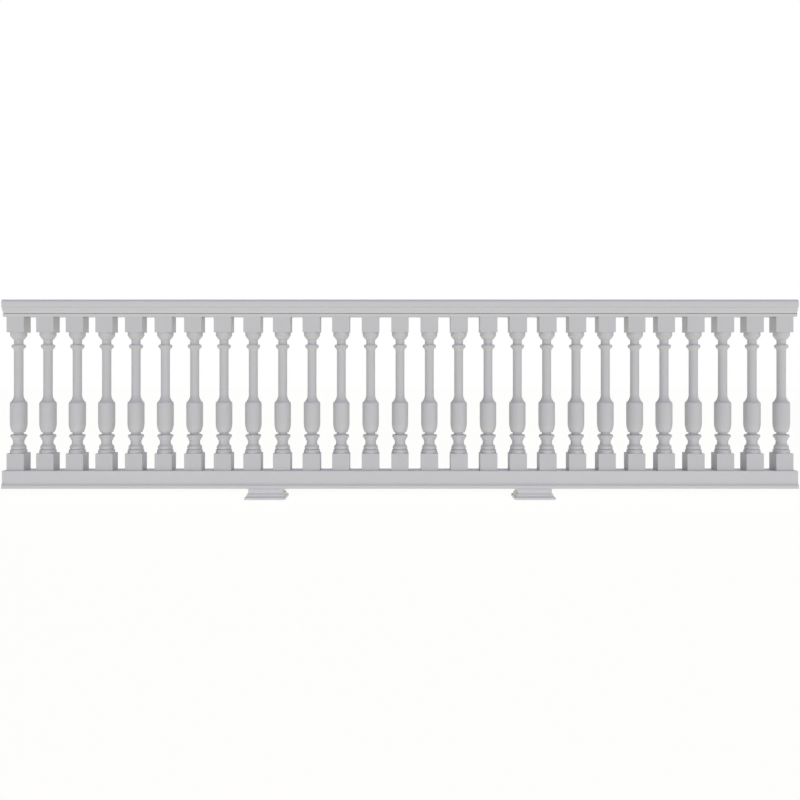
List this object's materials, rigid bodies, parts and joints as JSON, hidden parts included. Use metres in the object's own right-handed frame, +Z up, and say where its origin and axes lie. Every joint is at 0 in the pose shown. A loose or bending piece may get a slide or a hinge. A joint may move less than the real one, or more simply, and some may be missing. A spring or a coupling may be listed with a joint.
{
  "type": "resin balustrade panel",
  "caption": "Straight balustrade panel of turned square-ended balusters between a moulded handrail and a lipped bottom rail on two flared foot blocks.",
  "frame": {"origin": "on the floor, midway between the two foot blocks and on the centre line of the rails", "axes": "+X along the rail to the right as seen from the front, -Y towards the front, +Z up"},
  "size_m": [3.6576, 0.1442, 0.9186],
  "materials": {
    "rail_resin": "smooth satin white moulded resin, straight from the mould or factory painted",
    "baluster_resin": "smooth satin white moulded resin, turned profile with crisp square ends",
    "foot_resin": "smooth satin white moulded resin"
  },
  "bodies": {
    "root": {"top_rail": "rail_resin", "bottom_rail": "rail_resin", "baluster_01": "baluster_resin", "baluster_02": "baluster_resin", "baluster_03": "baluster_resin", "baluster_04": "baluster_resin", "baluster_05": "baluster_resin", "baluster_06": "baluster_resin", "baluster_07": "baluster_resin", "baluster_08": "baluster_resin", "baluster_09": "baluster_resin", "baluster_10": "baluster_resin", "baluster_11": "baluster_resin", "baluster_12": "baluster_resin", "baluster_13": "baluster_resin", "baluster_14": "baluster_resin", "baluster_15": "baluster_resin", "baluster_16": "baluster_resin", "baluster_17": "baluster_resin", "baluster_18": "baluster_resin", "baluster_19": "baluster_resin", "baluster_20": "baluster_resin", "baluster_21": "baluster_resin", "baluster_22": "baluster_resin", "baluster_23": "baluster_resin", "baluster_24": "baluster_resin", "baluster_25": "baluster_resin", "baluster_26": "baluster_resin", "baluster_27": "baluster_resin", "foot_block_left": "foot_resin", "foot_block_right": "foot_resin"}
  },
  "joints": []
}
